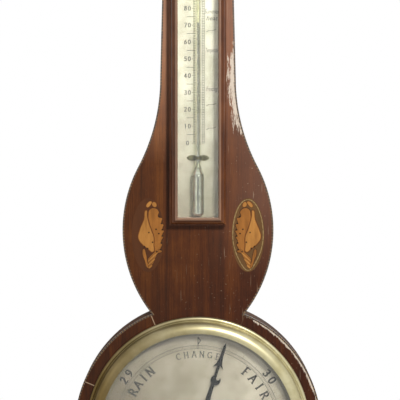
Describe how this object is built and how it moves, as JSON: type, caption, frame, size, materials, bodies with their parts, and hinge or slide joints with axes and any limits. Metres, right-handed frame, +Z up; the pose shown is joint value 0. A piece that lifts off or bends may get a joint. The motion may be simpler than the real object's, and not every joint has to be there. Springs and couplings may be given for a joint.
{
  "type": "barometer",
  "caption": "Wheel barometer in a banjo-shaped inlaid case, with a thermometer box above the dial, a hinged glazed bezel, and a siphon tube whose float turns the hand.",
  "frame": {"origin": "centre of the hole in the hanging plate, on the wall plane", "axes": "+Z up along the case, +Y into the wall, so the dial faces -Y and +X is to its right"},
  "size_m": [0.247, 0.044, 0.9426],
  "materials": {
    "board_wood": "oiled, plain",
    "veneer_wood": "french polished mahogany",
    "moulding_wood": "french polished mahogany",
    "stringing": "chequered light and dark",
    "inlay": "sand-shaded satinwood",
    "lacquered_brass": "lacquered, mellowed",
    "silvered_brass": "silvered, engraved",
    "blued_steel": "blued",
    "clear_glass": "clear",
    "weight_glass": "ground",
    "mercury": "liquid",
    "cork": "cut",
    "silk": "twisted"
  },
  "bodies": {
    "case": {"core_planks": "board_wood", "core_blocks": "board_wood", "front_veneer": "veneer_wood", "edge_stringing": "stringing", "left_shell_inlay": "inlay", "right_shell_inlay": "inlay", "flower_inlays": "inlay", "cornice": "moulding_wood", "left_swan_neck": "moulding_wood", "right_swan_neck": "moulding_wood", "roundels": "moulding_wood", "plinth": "moulding_wood", "finial": "lacquered_brass", "hanging_plate": "lacquered_brass", "tube_covers": "board_wood", "back_screws": "lacquered_brass", "tube_corks": "cork", "siphon_tube": "clear_glass", "mercury_column": "mercury", "lower_mercury": "mercury", "upper_mercury": "mercury", "dial_plate": "silvered_brass", "front_screws": "lacquered_brass", "dial_bush": "lacquered_brass", "bridge": "lacquered_brass", "bridge_pillars": "lacquered_brass", "bridge_screws": "blued_steel", "bezel_hinge_plate": "lacquered_brass", "hinge_pins": "lacquered_brass", "case_hinge_leaves": "lacquered_brass", "hook_pins": "lacquered_brass"},
    "bezel": {"bezel_ring": "lacquered_brass", "bezel_glass": "clear_glass", "glass_ring": "lacquered_brass", "bezel_hinge_strap": "lacquered_brass", "bezel_catch": "lacquered_brass"},
    "set_hand": {"set_hand": "lacquered_brass", "set_hand_spindle": "lacquered_brass", "set_hand_knob": "lacquered_brass"},
    "hand_train": {"hand": "blued_steel", "hand_collet": "lacquered_brass", "arbor": "blued_steel", "pulley": "lacquered_brass"},
    "float": {"float_weight": "weight_glass", "float_thread": "silk"},
    "counterweight": {"counterweight": "weight_glass", "counterweight_thread": "silk"},
    "back_door": {"back_door": "board_wood", "door_hinge_leaves": "lacquered_brass"},
    "turn_button": {"turn_button": "lacquered_brass"},
    "thermometer_box": {"box_stiles": "moulding_wood", "box_rails": "moulding_wood", "box_back": "board_wood", "box_glass": "clear_glass", "scale_plate": "silvered_brass", "thermometer_tube": "clear_glass", "thermometer_mercury": "mercury", "tube_clips": "lacquered_brass", "scale_screws": "lacquered_brass", "box_hooks": "lacquered_brass"}
  },
  "joints": [
    {"name": "bezel_hinge", "type": "hinge", "parent": "case", "child": "bezel", "pos_m": [0.1147, -0.0285, -0.74], "axis": [0, 0, 1], "range_deg": [0, 110]},
    {"name": "set_hand_turn", "type": "hinge", "parent": "bezel", "child": "set_hand", "pos_m": [0, -0.032, -0.74], "axis": [0, 1, 0], "continuous": true},
    {"name": "hand_turn", "type": "hinge", "parent": "case", "child": "hand_train", "pos_m": [0, -0.026, -0.74], "axis": [0, 1, 0], "range_deg": [-180, 144], "stiffness_Nm_per_rad": 0.00022},
    {"name": "float_slide", "type": "slide", "parent": "case", "child": "float", "axis": [0, 0, 1], "range_m": [-0.01695, 0.0212], "deforming": ["float_thread", "lower_mercury"]},
    {"name": "counterweight_slide", "type": "slide", "parent": "case", "child": "counterweight", "axis": [0, 0, 1], "range_m": [-0.0212, 0.01695], "deforming": ["counterweight_thread", "upper_mercury"]},
    {"name": "back_door_hinge", "type": "hinge", "parent": "case", "child": "back_door", "pos_m": [0.05985, -0.0023, -0.74], "axis": [0, 0, -1], "range_deg": [0, 95]},
    {"name": "turn_button_pivot", "type": "hinge", "parent": "case", "child": "turn_button", "pos_m": [-0.069, -0.0013, -0.74], "axis": [0, 1, 0], "range_deg": [0, 90]},
    {"name": "thermometer_box_lift", "type": "slide", "parent": "case", "child": "thermometer_box", "axis": [0, 0, 1], "range_m": [0, 0.008]}
  ],
  "couplings": [
    {"joint": "float_slide", "follows": "hand_turn", "m_per_rad": -0.006738},
    {"joint": "counterweight_slide", "follows": "hand_turn", "m_per_rad": 0.006738}
  ]
}
